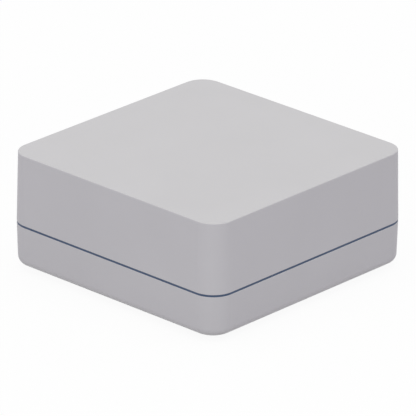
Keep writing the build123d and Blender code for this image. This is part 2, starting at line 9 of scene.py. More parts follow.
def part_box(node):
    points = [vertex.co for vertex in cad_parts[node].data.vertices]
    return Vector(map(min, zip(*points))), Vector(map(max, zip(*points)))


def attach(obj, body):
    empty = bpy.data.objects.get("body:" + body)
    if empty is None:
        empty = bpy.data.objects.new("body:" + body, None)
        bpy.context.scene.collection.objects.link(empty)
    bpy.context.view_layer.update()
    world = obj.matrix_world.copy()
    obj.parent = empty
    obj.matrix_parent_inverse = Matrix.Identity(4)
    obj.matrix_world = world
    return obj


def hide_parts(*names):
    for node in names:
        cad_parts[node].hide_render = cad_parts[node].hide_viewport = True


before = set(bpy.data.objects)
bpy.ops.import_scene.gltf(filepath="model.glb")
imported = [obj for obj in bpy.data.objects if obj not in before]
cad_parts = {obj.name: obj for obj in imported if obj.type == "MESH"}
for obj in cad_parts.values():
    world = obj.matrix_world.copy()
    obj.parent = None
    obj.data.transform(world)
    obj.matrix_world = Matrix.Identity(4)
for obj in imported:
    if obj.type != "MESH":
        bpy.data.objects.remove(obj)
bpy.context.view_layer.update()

bl_info = {
    "name": "Signal Repeater",
    "version": (1, 0, 0),
    "blender": (4, 5, 0),
    "location": "3D View > Sidebar > Repeater",
    "description": "Finishes a square table-top signal repeater and builds its feet, solder and tracks",
    "category": "Object",
}

MM = 0.001
IMAGE_PIXELS = 416
SENSOR_WIDTH = 36.0
# The camera shows what is this many times nearer or further than the object
CLIP_FACTOR = 10
# Places of the lamps, their width and half the floor's, in metres
OVERHEAD_PLACE = (0.0, 0.0, 1.2)
SIDE_PLACE = (1.10, -1.57, 0.55)
LAMP_WIDTH = 1.0
FLOOR_REACH = 1.5
# The floor lies this far below the feet, so that their faces don't coincide
FLOOR_GAP = 0.01 * MM
FLOOR_GLOW_SHARE = 0.93
FLOOR_ALBEDO = 0.5
# Points nearer to each other than this are one point
TOUCHING = 0.001 * MM
SHARP_DEGREES = 40
# Where most of a noise lies between nought and one
NOISE_ENDS = (0.3, 0.7)
# Steps round a foot or a screw's ring, round a plated hole, and across each kind of rounded edge
ROUND_SEGMENTS = 64
VIA_SEGMENTS = 12
FOOT_EDGE_STEPS = 8
FOOT_TOP_STEPS = 3
EDGE_STEPS = 2
# Anything wider than this is a package's body and not one of its leads
LEAD_WIDEST = 0.5 * MM
# Share of a terminal's height that its solder climbs
SOLDER_CLIMB = 0.45
# Edge radius of a mound of solder as a share of its spread, and of a screw's ring as a share of its height
MOUND_EDGE = 0.2
RING_EDGE = 0.3
# Shares of a plated hole: its crown's radius, its rim's width and its dimple's depth
VIA_CROWN = 0.84
VIA_RIM = 0.4
VIA_DIMPLE = 0.6
# How much higher a wide track and a plated hole stand than the track ends that they cover
POWER_RISE = 1.25
VIA_RISE = 1.6
# A polarity mark's distance from its can's middle as a share of the radius, and its reach down the side
POLARITY_REACH = 0.55
POLARITY_DEPTH = 0.1 * MM


# Colours, sizes and nodes

def linear(hex_colour):
    """An sRGB hex colour as linear red, green and blue."""
    channels = [int(hex_colour[start:start + 2], 16) / 255 for start in (0, 2, 4)]
    return tuple(c / 12.92 if c <= 0.04045 else ((c + 0.055) / 1.055) ** 2.4 for c in channels)


def colour_prop(name, hex_colour, description):
    return FloatVectorProperty(
        name=name, description=description, subtype="COLOR", size=3, min=0.0, max=1.0,
        default=linear(hex_colour),
    )


def number_prop(name, default, description, **settings):
    return FloatProperty(name=name, description=description, default=default, **settings)


def length_prop(name, millimetres, description):
    return number_prop(
        name, millimetres * MM, description, min=0.0, precision=5, subtype="DISTANCE", unit="LENGTH"
    )


def angle_prop(name, degrees, description):
    return number_prop(name, math.radians(degrees), description, subtype="ANGLE", unit="ROTATION")


def add_node(tree, kind, inputs=None, **settings):
    """Adds a node. Each input takes a constant, or the output socket that feeds it."""
    node = tree.nodes.new(kind)
    for name, value in settings.items():
        setattr(node, name, value)
    for name, value in (inputs or {}).items():
        if isinstance(value, bpy.types.NodeSocket):
            tree.links.new(value, node.inputs[name])
        else:
            node.inputs[name].default_value = value
    return node


def empty_tree(owner):
    """The node tree of a new material or world, with nothing in it."""
    owner.use_nodes = True
    owner.node_tree.nodes.clear()
    return owner.node_tree


def new_material(name, colour, roughness, **shader_inputs):
    """A material with a Principled shader. Underscores in the shader's input names stand for spaces."""
    material = bpy.data.materials.new(name)
    tree = empty_tree(material)
    inputs = {key.replace("_", " "): value for key, value in shader_inputs.items()}
    shader = add_node(
        tree, "ShaderNodeBsdfPrincipled", {"Base Color": (*colour, 1.0), "Roughness": roughness, **inputs}
    )
    add_node(tree, "ShaderNodeOutputMaterial", {"Surface": shader.outputs["BSDF"]})
    return material


def shader_of(material):
    return next(node for node in material.node_tree.nodes if node.type == "BSDF_PRINCIPLED")


def scaled(colour, factor):
    return tuple(min(1.0, channel * factor) for channel in colour)


def show_pattern(material, pattern, ends, tones=None, roughness=None, depth=None):
    """Lets a pattern change a surface from its low end to its high one.

    The colour goes between two tones, which are factors on the base colour, the roughness between two values,
    and the height rises by depth metres.
    """
    tree = material.node_tree
    shader = shader_of(material)
    if tones:
        colour = shader.inputs["Base Color"].default_value[:3]
        ramp = add_node(tree, "ShaderNodeValToRGB", {"Fac": pattern})
        for element, end, tone in zip(ramp.color_ramp.elements, ends, tones):
            element.position = end
            element.color = (*scaled(colour, tone), 1.0)
        tree.links.new(ramp.outputs["Color"], shader.inputs["Base Color"])
    if roughness:
        low, high = roughness
        spread = add_node(tree, "ShaderNodeMapRange", {"Value": pattern, "To Min": low, "To Max": high})
        tree.links.new(spread.outputs["Result"], shader.inputs["Roughness"])
    if depth:
        bump = add_node(tree, "ShaderNodeBump", {"Height": pattern, "Distance": depth, "Strength": 1.0})
        tree.links.new(bump.outputs["Normal"], shader.inputs["Normal"])


def add_grain(material, pitch, detail, stretch=(1.0, 1.0, 1.0), **shown):
    """Gives a surface features about pitch metres apart, longer along a stretched axis."""
    tree = material.node_tree
    place = add_node(tree, "ShaderNodeTexCoord").outputs["Object"]
    scale = tuple(1.0 / axis for axis in stretch)
    mapping = add_node(tree, "ShaderNodeMapping", {"Vector": place, "Scale": scale})
    inputs = {"Vector": mapping.outputs["Vector"], "Scale": 1.0 / pitch, "Detail": detail}
    show_pattern(material, add_node(tree, "ShaderNodeTexNoise", inputs).outputs["Fac"], NOISE_ENDS, **shown)


def dress(material, *node_names):
    """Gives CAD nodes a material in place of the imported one."""
    for name in node_names:
        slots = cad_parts[name].data.materials
        slots.clear()
        slots.append(material)


# Shapes

def solids_of(node_name, up_to=None):
    """Lowest and highest corner of each separate solid in a CAD node, or in its part up to a height."""
    shape = bmesh.new()
    shape.from_mesh(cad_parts[node_name].data)
    bmesh.ops.remove_doubles(shape, verts=shape.verts, dist=TOUCHING)
    if up_to is not None:
        higher = [vert for vert in shape.verts if vert.co.z > up_to]
        bmesh.ops.delete(shape, geom=higher, context="VERTS")
    seen = set()
    boxes = []
    for start in shape.verts:
        if start in seen:
            continue
        seen.add(start)
        solid = [start]
        for vert in solid:
            for edge in vert.link_edges:
                neighbour = edge.other_vert(vert)
                if neighbour not in seen:
                    seen.add(neighbour)
                    solid.append(neighbour)
        boxes.append([
            Vector([extreme(vert.co[axis] for vert in solid) for axis in range(3)]) for extreme in (min, max)
        ])
    shape.free()
    return boxes


def grown(low, high, margin, low_z, high_z):
    """A box's outline, grown by a margin, between two heights."""
    return Vector((low.x - margin, low.y - margin, low_z)), Vector((high.x + margin, high.y + margin, high_z))


def add_block(shape, low, high):
    """A block between two corners. Gives its vertices."""
    place = Matrix.Translation((low + high) / 2) @ Matrix.Diagonal((*(high - low), 1.0))
    return bmesh.ops.create_cube(shape, size=1.0, matrix=place)["verts"]


def round_edges(shape, edges, radius, segments):
    bmesh.ops.bevel(
        shape, geom=edges, offset=radius, affect="EDGES", segments=segments, profile=0.5, material=-1,
        clamp_overlap=True,
    )


def edges_of(verts):
    return list(dict.fromkeys(edge for vert in verts for edge in vert.link_edges))


def add_disc(shape, low, high, segments, top_share=1.0):
    """An upright disc between two corners, whose top may be narrower. Gives its vertices."""
    radius = (high.x - low.x) / 2
    return bmesh.ops.create_cone(
        shape, cap_ends=True, cap_tris=False, segments=segments, radius1=radius, radius2=radius * top_share,
        depth=high.z - low.z, matrix=Matrix.Translation((low + high) / 2),
    )["verts"]


def add_mound(shape, box, foot_z, end_z, margin, spread):
    """Solder that climbs a terminal from foot_z to end_z: a margin wider than it, and spread at its foot."""
    low, high = grown(*box, margin, min(foot_z, end_z), max(foot_z, end_z))
    verts = add_block(shape, low, high)
    middle = (low + high) / 2
    for vert in verts:
        if abs(vert.co.z - foot_z) < TOUCHING:
            for axis in (0, 1):
                vert.co[axis] += math.copysign(spread, vert.co[axis] - middle[axis])
    round_edges(shape, edges_of(verts), spread * MOUND_EDGE, EDGE_STEPS)


def add_object(name, data):
    """Puts a new object with its mesh, camera or lamp in the scene."""
    item = bpy.data.objects.new(name, data)
    bpy.context.scene.collection.objects.link(item)
    return item


def add_piece(name, shape, material, slot, *replaced):
    """Makes a finished mesh a piece of the object that moves with the housing."""
    bmesh.ops.recalc_face_normals(shape, faces=shape.faces)
    mesh = bpy.data.meshes.new(name)
    shape.to_mesh(mesh)
    shape.free()
    mesh.shade_smooth()
    mesh.set_sharp_from_angle(angle=math.radians(SHARP_DEGREES))
    mesh.materials.append(material)
    piece = add_object(name, mesh)
    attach(piece, "housing")
    if replaced:
        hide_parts(*replaced)


def long_axis(box):
    """The axis along which a part lies on the board."""
    size = box[1] - box[0]
    return 0 if size.x > size.y else 1


def in_order(boxes, axis):
    return sorted(boxes, key=lambda box: box[0][axis])


def side(box, axis, end):
    """Middle of a box's low (0) or high (1) side along an axis, seen from above."""
    place = ((box[0] + box[1]) / 2).xy
    place[axis] = box[end][axis]
    return place


# Materials. Real grains, fillers and drawing lines are finer, and are drawn as coarse as they need to show.

TIN = linear("C6C6C4")


def moulded_plastic(name, colour, pitch, depth, roughness):
    """Polycarbonate-ABS moulded in a spark-eroded tool: an even satin skin whose grain softens the light."""
    material = new_material(name, colour, roughness, IOR=1.55)
    add_grain(material, 18 * MM, detail=2.0, tones=(0.988, 1.012))
    add_grain(material, pitch, detail=3.0, roughness=(roughness - 0.04, roughness + 0.04), depth=depth)
    return material


def elastomer(name, colour, pitch):
    """Moulded thermoplastic rubber: dull, a little dusty, with a soft sheen at grazing angles."""
    material = new_material(name, colour, 0.68, IOR=1.5, Sheen_Weight=0.15, Sheen_Roughness=0.5)
    add_grain(material, pitch, detail=4.0, tones=(0.9, 1.1), depth=0.004 * MM)
    return material


def filled_nylon(name, colour):
    """Glass-filled nylon moulding: near black, with the faint mottling of fibres at its skin."""
    material = new_material(name, colour, 0.5, IOR=1.53)
    add_grain(material, 0.25 * MM, detail=4.0, stretch=(1.0, 3.0, 1.0), tones=(0.8, 1.3), depth=0.003 * MM)
    return material


def plated_metal(name, colour, roughness, pitch, stretch=(1.0, 1.0, 1.0)):
    """Rolled or drawn metal under a thin plating: mirror-like with fine drawing lines along one axis."""
    material = new_material(name, colour, roughness, Metallic=1.0)
    add_grain(
        material, pitch, detail=5.0, stretch=stretch, tones=(0.93, 1.04),
        roughness=(roughness - 0.07, roughness + 0.1), depth=0.0015 * MM,
    )
    return material


def frosted_polycarbonate(name, colour):
    """Clear polycarbonate with a frosted skin: lets light through and blurs it."""
    material = new_material(name, colour, 0.3, IOR=1.585, Transmission_Weight=0.65)
    add_grain(material, 0.12 * MM, detail=3.0, roughness=(0.25, 0.4), depth=0.003 * MM)
    return material


def fired_ceramic(name, colour, roughness):
    """Fired ceramic or pressed ferrite: a hard matt body with fine pores."""
    material = new_material(name, colour, roughness, IOR=1.6)
    add_grain(material, 0.15 * MM, detail=5.0, tones=(0.82, 1.12), depth=0.004 * MM)
    return material


def moulding_compound(name):
    """Black epoxy moulding compound: silica filler shows as a fine grey speckle."""
    material = new_material(name, linear("1C1C1E"), 0.55, IOR=1.52)
    add_grain(material, 0.1 * MM, detail=6.0, tones=(0.7, 1.7), depth=0.003 * MM)
    return material


def solder_masked_copper(name, colour):
    """Copper under a glossy green solder mask: lighter and warmer than the mask over bare laminate."""
    material = new_material(name, colour, 0.26, IOR=1.5, Coat_Weight=0.4, Coat_Roughness=0.12)
    add_grain(material, 1.5 * MM, detail=3.0, tones=(0.93, 1.07), depth=0.002 * MM)
    return material


def solder_masked_laminate(name, colour, pitch):
    """Glass-epoxy board under a glossy green solder mask: the cloth's weave shows as a faint check."""
    material = new_material(name, colour, 0.28, IOR=1.5, Coat_Weight=0.4, Coat_Roughness=0.12)
    tree = material.node_tree
    place = add_node(tree, "ShaderNodeTexCoord").outputs["Object"]
    # A wave texture of scale 1 repeats every tenth of pi
    inputs = {"Vector": place, "Scale": math.pi / 10 / pitch, "Distortion": 0.6}
    warp, weft = (
        add_node(tree, "ShaderNodeTexWave", inputs, wave_type="BANDS", bands_direction=axis).outputs["Fac"]
        for axis in ("X", "Y")
    )
    weave = add_node(tree, "ShaderNodeMath", {0: warp, 1: weft}, operation="MULTIPLY").outputs["Value"]
    show_pattern(material, weave, (0.0, 1.0), tones=(0.85, 1.2), depth=0.006 * MM)
    return material


def lay_over(material, mask, colour, roughness, metallic):
    """Lays a second finish over a material wherever the mask is one."""
    tree = material.node_tree
    shader = shader_of(material)
    below = shader.inputs["Base Color"].links[0].from_socket
    mixed = add_node(tree, "ShaderNodeMix", {0: mask, 6: below, 7: (*colour, 1.0)}, data_type="RGBA")
    tree.links.new(mixed.outputs[2], shader.inputs["Base Color"])
    for name, value in (("Roughness", roughness), ("Metallic", metallic)):
        socket = shader.inputs[name]
        below = socket.links[0].from_socket if socket.is_linked else socket.default_value
        if below != value:
            mixed = add_node(tree, "ShaderNodeMix", {0: mask, 2: below, 3: value})
            tree.links.new(mixed.outputs[0], socket)


def mask_along(material, axis, *steps):
    """A mask worked out from a place along an axis, by steps of arithmetic that follow one another."""
    tree = material.node_tree
    place = add_node(tree, "ShaderNodeTexCoord").outputs["Object"]
    value = add_node(tree, "ShaderNodeSeparateXYZ", {"Vector": place}).outputs[axis]
    for operation, *operand in steps:
        inputs = dict(enumerate((value, *operand)))
        value = add_node(tree, "ShaderNodeMath", inputs, operation=operation).outputs["Value"]
    return value


def tin_leads(material, middle_y, reach):
    """Tin plating on whatever lies further than reach from the line y = middle_y: a package's leads."""
    leads = mask_along(material, "Y", ("SUBTRACT", middle_y), ("ABSOLUTE",), ("GREATER_THAN", reach))
    lay_over(material, leads, TIN, roughness=0.32, metallic=1.0)


def bare_edges(material, middle_z, reach):
    """Routed edges of the board between its two faces: straw-coloured glass epoxy with no solder mask."""
    edges = mask_along(material, "Z", ("SUBTRACT", middle_z), ("ABSOLUTE",), ("LESS_THAN", reach))
    lay_over(material, edges, linear("A5A071"), roughness=0.6, metallic=0.0)


def print_polarity(material, first_x, pitch, reach, top_z):
    """Black ink on top of each can in a row, beyond reach from its middle on its negative lead's side."""
    # After the fraction, a can's middle is at a half
    negative_side = mask_along(
        material, "X", ("SUBTRACT", first_x - pitch / 2), ("DIVIDE", pitch), ("FRACT",),
        ("LESS_THAN", 0.5 - reach / pitch),
    )
    upper = mask_along(material, "Z", ("GREATER_THAN", top_z), ("MULTIPLY", negative_side))
    lay_over(material, upper, linear("202022"), roughness=0.5, metallic=0.0)


# What a user would change

class RepeaterFinish(bpy.types.PropertyGroup):
    housing: colour_prop("Housing", "CDCBCE", "Pale grey of both moulded shells")
    # The gasket's slate blue is partly its own colour and partly painted shade of the seam between the shells
    gasket: colour_prop("Seam gasket", "455773", "Slate blue of the line between the shells")
    button: colour_prop("Button", "B4B2B6", "Grey of the pairing button")
    feet: colour_prop("Feet", "2C2C2F", "Dark grey of the rubber feet")
    board: colour_prop("Solder mask", "17543A", "Green of the circuit board")
    tracks: colour_prop("Masked copper", "2B7749", "Green of the solder mask over copper tracks")
    grain_pitch: length_prop("Mould grain", 0.35, "Distance between the grains of the moulded skin")
    grain_depth: length_prop("Mould grain depth", 0.004, "Height of the grains of the moulded skin")
    weave_pitch: length_prop("Glass weave", 0.6, "Distance between the yarns in the circuit board")
    housing_roughness: number_prop(
        "Housing roughness", 0.45, "Roughness of the moulded skin", min=0.0, max=1.0, subtype="FACTOR"
    )


class RepeaterDetail(bpy.types.PropertyGroup):
    foot_edge: length_prop("Foot edge", 0.6, "Radius round the bottom of a rubber foot")
    foot_top_edge: length_prop("Foot top edge", 0.15, "Radius round the top of a rubber foot, in its pocket")
    foot_dimple: length_prop("Foot dimple", 3.0, "Diameter of the mould gate's dimple under a foot")
    foot_dimple_depth: length_prop("Foot dimple depth", 0.2, "Depth of the mould gate's dimple under a foot")
    capacitor_terminal: length_prop("Capacitor terminal", 0.35, "Length of a small capacitor's tinned end")
    resistor_terminal: length_prop("Resistor terminal", 0.22, "Length of a small resistor's tinned end")
    fuse_terminal: length_prop("Fuse terminal", 0.7, "Length of the fuse's tinned end")
    plating: length_prop("Plating", 0.02, "How far a tinned end stands proud of its part")
    terminal_solder: length_prop("Solder round a terminal", 0.2, "How far solder reaches out from a terminal")
    lead_solder: length_prop("Solder round a lead", 0.1, "How far solder reaches out from a package's lead")
    lead_foot: length_prop("Lead foot", 0.5, "Length of a lead's end that lies on the board")
    leg_solder: length_prop("Solder round a leg", 0.35, "How far solder reaches out from an antenna's leg")
    leg_solder_height: length_prop("Solder up a leg", 0.5, "How high solder climbs a leg above the board")
    port_wing: length_prop("Port wing", 2.0, "Width of the port's sheet wing that is soldered to the board")
    screw_pad: length_prop("Screw pad", 6.0, "Diameter of the tinned ring under a board screw")
    copper: length_prop("Copper", 0.07, "Height of a tinned copper pad")
    signal_track: length_prop("Signal track", 0.22, "Width of a track that carries a signal")
    feed_track: length_prop("Feed track", 0.5, "Width of the track to an antenna's feed leg")
    power_track: length_prop("Power track", 0.9, "Width of a track that carries the supply")
    track_spacing: length_prop("Track spacing", 0.5, "Distance from one track's middle to the next one's")
    track_height: length_prop("Track height", 0.045, "How far a track under the solder mask stands up")
    stitching: length_prop("Stitching", 2.3, "Distance between the plated holes in a row")
    via: length_prop("Via", 0.56, "Diameter of a plated hole's ring under the solder mask")


class RepeaterStage(bpy.types.PropertyGroup):
    azimuth: angle_prop("Azimuth", 43.03, "Camera's turn from the front towards the right-hand side")
    elevation: angle_prop("Elevation", 22.95, "Camera's height above the horizon")
    roll: angle_prop("Roll", 0.43, "Camera's turn about its own line of sight")
    distance: length_prop("Distance", 1448.9, "Camera to the point that it circles")
    aim_height: length_prop("Aim height", 16.2, "Height above the table of the point that the camera circles")
    focal_pixels: number_prop("Focal length", 5889.0, "Focal length in pixels of the picture", min=1.0)
    aim_x: number_prop("Aim column", 207.80, "Pixel column where the circled point shows")
    aim_y: number_prop("Aim row", 204.66, "Pixel row where the circled point shows")
    sky: number_prop("Sky", 0.672, "Strength of the even light from all round", min=0.0)
    overhead: number_prop("Overhead lamp", 0.966, "Strength of the broad lamp above", min=0.0)
    side: number_prop("Side lamp", 0.602, "Strength of the broad lamp in front", min=0.0)
    sky_tint: colour_prop("Sky tint", "F6F2FF", "Colour of the even light from all round")
    overhead_tint: colour_prop("Overhead tint", "F4FFDA", "Colour of the broad lamp above")
    side_tint: colour_prop("Side tint", "FBFFF6", "Colour of the broad lamp in front")


# The moulded housing

class DressHousing(bpy.types.Operator):
    """Gives both shells their pale satin plastic and the seam its slate-blue gasket, whose darkness is partly
    painted shade of the seam
    """

    bl_idname = "repeater.dress_housing"
    bl_label = "Housing and seam"

    def execute(self, context):
        finish = context.scene.repeater_finish
        plastic = moulded_plastic(
            "satin_moulded_pc_abs", finish.housing, finish.grain_pitch, finish.grain_depth,
            finish.housing_roughness,
        )
        dress(plastic, "base_housing", "upper_housing")
        # The gasket's dark slate blue also paints the shade of the seam between the shells
        dress(elastomer("slate_blue_tpe_with_painted_seam_shade", finish.gasket, pitch=0.4 * MM), "seam_gasket")
        return {"FINISHED"}


def add_foot(shape, low, high, bottom_edge, top_edge):
    """A moulded rubber foot between two corners, round below and eased above."""
    edges = edges_of(add_disc(shape, low, high, ROUND_SEGMENTS))
    rims = [
        [edge for edge in edges if all(abs(vert.co.z - height) < TOUCHING for vert in edge.verts)]
        for height in (low.z, high.z)
    ]
    round_edges(shape, rims[0], bottom_edge, FOOT_EDGE_STEPS)
    round_edges(shape, rims[1], top_edge, FOOT_TOP_STEPS)


class BuildFeet(bpy.types.Operator):
    """Builds the four rubber feet, and gives the screws above them their zinc"""

    bl_idname = "repeater.build_feet"
    bl_label = "Feet and screws"

    def execute(self, context):
        finish = context.scene.repeater_finish
        detail = context.scene.repeater_detail
        shape = bmesh.new()
        feet = solids_of("rubber_feet")
        for low, high in feet:
            add_foot(shape, low, high, detail.foot_edge, detail.foot_top_edge)
        shape.normal_update()
        undersides = [face for face in shape.faces if len(face.verts) == ROUND_SEGMENTS and face.normal.z < 0]
        if len(undersides) != len(feet):
            raise RuntimeError("A foot has lost its underside, so its edge radius is too large")
        radius = (feet[0][1].x - feet[0][0].x) / 2
        rim = radius - detail.foot_edge - detail.foot_dimple / 2
        slope = detail.foot_dimple_depth
        for width, depth in ((rim, 0.0), (slope, -slope)):
            bmesh.ops.inset_individual(
                shape, faces=undersides, thickness=width, depth=depth, use_even_offset=True
            )
        rubber = elastomer("dark_grey_moulded_rubber", finish.feet, pitch=0.3 * MM)
        add_piece("moulded_rubber_feet", shape, rubber, "foot_rubber", "rubber_feet")
        zinc = plated_metal("bright_zinc_plated_steel", linear("BDBEC2"), roughness=0.3, pitch=0.2 * MM)
        dress(zinc, "housing_screws", "board_screws")
        return {"FINISHED"}


class DressRearWall(bpy.types.Operator):
    """Finishes the power port, the pairing button with its switch, and the status light"""

    bl_idname = "repeater.dress_rear_wall"
    bl_label = "Port, button and light"

    def execute(self, context):
        finish = context.scene.repeater_finish
        nickel = plated_metal(
            "drawn_nickel_plated_steel", linear("D5D4D0"), roughness=0.24, pitch=0.12 * MM,
            stretch=(1.0, 6.0, 1.0),
        )
        dress(nickel, "usb_c_shell")
        dress(filled_nylon("black_glass_filled_nylon", linear("19191A")), "usb_c_insulator", "switch_body")
        gold = plated_metal(
            "gold_plated_copper_alloy", linear("E3BE68"), roughness=0.2, pitch=0.1 * MM,
            stretch=(1.0, 5.0, 1.0),
        )
        dress(gold, "usb_c_contacts")
        cap = moulded_plastic(
            "satin_moulded_abs", finish.button, finish.grain_pitch, finish.grain_depth, roughness=0.42
        )
        dress(cap, "pairing_button")
        steel = plated_metal("rolled_stainless_steel", linear("C9C8C5"), roughness=0.3, pitch=0.1 * MM)
        dress(steel, "switch_cover")
        dress(filled_nylon("natural_moulded_nylon", linear("D8D0BC")), "switch_plunger")
        dress(frosted_polycarbonate("frosted_clear_polycarbonate", linear("F2F4F4")), "status_light_pipe")
        dress(fired_ceramic("white_lamp_ceramic", linear("EDEAE0"), roughness=0.35), "status_led")
        return {"FINISHED"}


# The electronics

class DressBoard(bpy.types.Operator):
    """Finishes the circuit board and everything that is soldered to it"""

    bl_idname = "repeater.dress_board"
    bl_label = "Circuit board"

    def execute(self, context):
        finish = context.scene.repeater_finish
        laminate = solder_masked_laminate("solder_masked_glass_epoxy", finish.board, finish.weave_pitch)
        under, top = (corner.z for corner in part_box("main_board"))
        bare_edges(laminate, (under + top) / 2, (top - under) / 2 - TOUCHING)
        dress(laminate, "main_board")
        tin = plated_metal(
            "tin_plated_steel_sheet", TIN, roughness=0.34, pitch=0.3 * MM, stretch=(8.0, 1.0, 1.0)
        )
        dress(tin, "rf_shield_fence", "rf_shield_lid", "crystal_can")
        dress(tin, "processor_lead_frame", "memory_lead_frame")
        bronze = plated_metal(
            "tin_plated_phosphor_bronze", linear("D2CCBC"), roughness=0.3, pitch=0.2 * MM,
            stretch=(6.0, 6.0, 1.0),
        )
        dress(bronze, "front_antenna", "left_antenna")
        epoxy = moulding_compound("black_moulding_compound")
        dress(epoxy, "radio_chip", "processor_chip", "memory_chip", "voltage_regulator")
        leaded = moulding_compound("black_compound_with_tinned_leads")
        low, high = max(solids_of("surge_protector"), key=lambda box: box[1].x - box[0].x)
        tin_leads(leaded, (low.y + high.y) / 2, (high.y - low.y) / 2 + TOUCHING)
        dress(leaded, "surge_protector")
        for name, hex_colour, roughness, node_name in (
            ("glazed_alumina", "D3CBB8", 0.3, "antenna_filter"),
            ("pressed_ferrite", "38383B", 0.6, "power_inductor"),
            ("conductive_polymer", "2B5A43", 0.45, "resettable_fuse"),
            ("fired_tan_ceramic", "A98458", 0.42, "small_capacitors"),
            ("black_glazed_alumina", "1B1B1D", 0.25, "small_resistors"),
        ):
            dress(fired_ceramic(name, linear(hex_colour), roughness), node_name)
        aluminium = plated_metal(
            "drawn_aluminium_can", linear("D9DADC"), roughness=0.22, pitch=0.15 * MM, stretch=(1.0, 1.0, 8.0)
        )
        (low, high), second = in_order(solids_of("capacitor_cans"), 0)
        middle_x, reach = (low.x + high.x) / 2, (high.x - low.x) / 2 * POLARITY_REACH
        print_polarity(aluminium, middle_x, second[0].x - low.x, reach, high.z - POLARITY_DEPTH)
        dress(aluminium, "capacitor_cans")
        dress(filled_nylon("black_heat_resistant_nylon", linear("171718")), "capacitor_bases")
        return {"FINISHED"}


def end_caps(low, high, length, proud):
    """Corners of the two tinned ends of a chip part, which wrap round it and rest on the board."""
    along = long_axis((low, high))
    outer_low = low - Vector((proud, proud, 0.0))
    outer_high = high + Vector((proud, proud, proud))
    first_high = outer_high.copy()
    first_high[along] = low[along] + length
    second_low = outer_low.copy()
    second_low[along] = high[along] - length
    return (outer_low, first_high), (second_low, outer_high)


def all_end_caps(detail):
    lengths = {
        "small_capacitors": detail.capacitor_terminal,
        "small_resistors": detail.resistor_terminal,
        "resettable_fuse": detail.fuse_terminal,
    }
    return [
        cap for node_name, length in lengths.items() for low, high in solids_of(node_name)
        for cap in end_caps(low, high, length, detail.plating)
    ]


class BuildTerminals(bpy.types.Operator):
    """Builds the tinned ends of the small capacitors, the small resistors and the fuse"""

    bl_idname = "repeater.build_terminals"
    bl_label = "Tinned terminals"

    def execute(self, context):
        detail = context.scene.repeater_detail
        shape = bmesh.new()
        for low, high in all_end_caps(detail):
            round_edges(shape, edges_of(add_block(shape, low, high)), 2 * detail.plating, EDGE_STEPS)
        tin = plated_metal("tin_plated_nickel", linear("CFCFCD"), roughness=0.32, pitch=0.1 * MM)
        add_piece("chip_terminals", shape, tin, "tinned_steel")
        return {"FINISHED"}


def leads_of(node_name):
    """Boxes of a package's leads, without its body."""
    return [(low, high) for low, high in solids_of(node_name) if min((high - low).xy) < LEAD_WIDEST]


def lead_feet(node_name, length):
    """Corners of the ends of a package's leads that lie on the board."""
    node_low, node_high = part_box(node_name)
    feet = []
    for low, high in leads_of(node_name):
        along = long_axis((low, high))
        if low[along] + high[along] > node_low[along] + node_high[along]:
            low[along] = high[along] - length
        else:
            high[along] = low[along] + length
        feet.append((low, high))
    return feet


class BuildSolder(bpy.types.Operator):
    """Builds the solder round every terminal, lead and leg, and the tinned rings under the board screws"""

    bl_idname = "repeater.build_solder"
    bl_label = "Solder and pads"

    def execute(self, context):
        detail = context.scene.repeater_detail
        board_low, board_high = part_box("main_board")
        under, top = board_low.z, board_high.z
        low_climb = top + 2 * detail.copper
        shape = bmesh.new()
        for cap in all_end_caps(detail):
            climb = top + (cap[1].z - top) * SOLDER_CLIMB
            add_mound(shape, cap, top, climb, detail.plating, detail.terminal_solder)
        for node_name in ("processor_lead_frame", "memory_lead_frame", "surge_protector"):
            for foot in lead_feet(node_name, detail.lead_foot):
                add_mound(shape, foot, top, low_climb, detail.plating, detail.lead_solder)
        for node_name in ("front_antenna", "left_antenna"):
            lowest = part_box(node_name)[0].z
            for leg in solids_of(node_name, up_to=lowest + TOUCHING):
                for foot_z, end_z in ((top, top + detail.leg_solder_height), (under, lowest + detail.copper)):
                    add_mound(shape, leg, foot_z, end_z, detail.plating, detail.leg_solder)
        for low, high in solids_of("usb_c_shell", up_to=under + TOUCHING):
            middle = (low + high) / 2
            low.y, high.y = middle.y - detail.port_wing / 2, middle.y + detail.port_wing / 2
            add_mound(shape, (low, high), top, low_climb, detail.plating, detail.terminal_solder)
        for low, high in solids_of("board_screws"):
            middle = (low + high) / 2
            ring = grown(middle, middle, detail.screw_pad / 2, top, top + detail.copper)
            edges = edges_of(add_disc(shape, *ring, ROUND_SEGMENTS))
            round_edges(shape, edges, detail.copper * RING_EDGE, EDGE_STEPS)
        solder = plated_metal("reflowed_tin_solder", linear("C4C6C9"), roughness=0.3, pitch=0.25 * MM)
        add_piece("solder_joints", shape, solder, "tinned_steel")
        return {"FINISHED"}


# Tracks on the board's upper face. Their runs are counted in lanes, a lane from one track to the next.

# Size of a cut corner. A long track has one two or three times as large.
CUT = 2
# From a lead to the plated hole where its track ends, next to it or further out
STUB = 1.5
LONG_STUB = 4
# From one track's hole to the hole of the track beside it
STAGGER = 2
# From the corner of the switch and of the lamp to their leads, and from the port's middle to its supply pins
SWITCH_LEAD = 2
LAMP_LEAD = 1
SUPPLY_PINS = 6
# From the side of a part to the middle of a wide track that runs along it or into it
POWER_INSET = 2.5
# From the edge of the board or the radio to a row of plated holes, and to those of the processor's tracks
HOLE_INSET = 2
PROCESSOR_HOLES = 3
# Share of the board's side that the row of plated holes along it takes
STITCHED_SHARE = 0.6
# The processor's front leads that go to the memory, and its rear leads that go to small capacitors
MEMORY_LEADS = (1, 3, 4, 6)
SUPPLY_LEADS = (0, 1, 3, 4, 6, 7)


def lead_tips(node_name, axis, end):
    """Ends of a package's leads on one side, in order along that side."""
    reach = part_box(node_name)[end][axis]
    tips = [side(box, axis, end) for box in leads_of(node_name) if abs(box[end][axis] - reach) < TOUCHING]
    return sorted(tips, key=lambda tip: tip[1 - axis])


def small_capacitors(along):
    """Boxes of the small capacitors that lie along an axis, in the order of their row."""
    boxes = [box for box in solids_of("small_capacitors") if long_axis(box) == along]
    return in_order(boxes, 1 - along)


def run(start, axis, length):
    end = start.copy()
    end[axis] += length
    return [start, end]


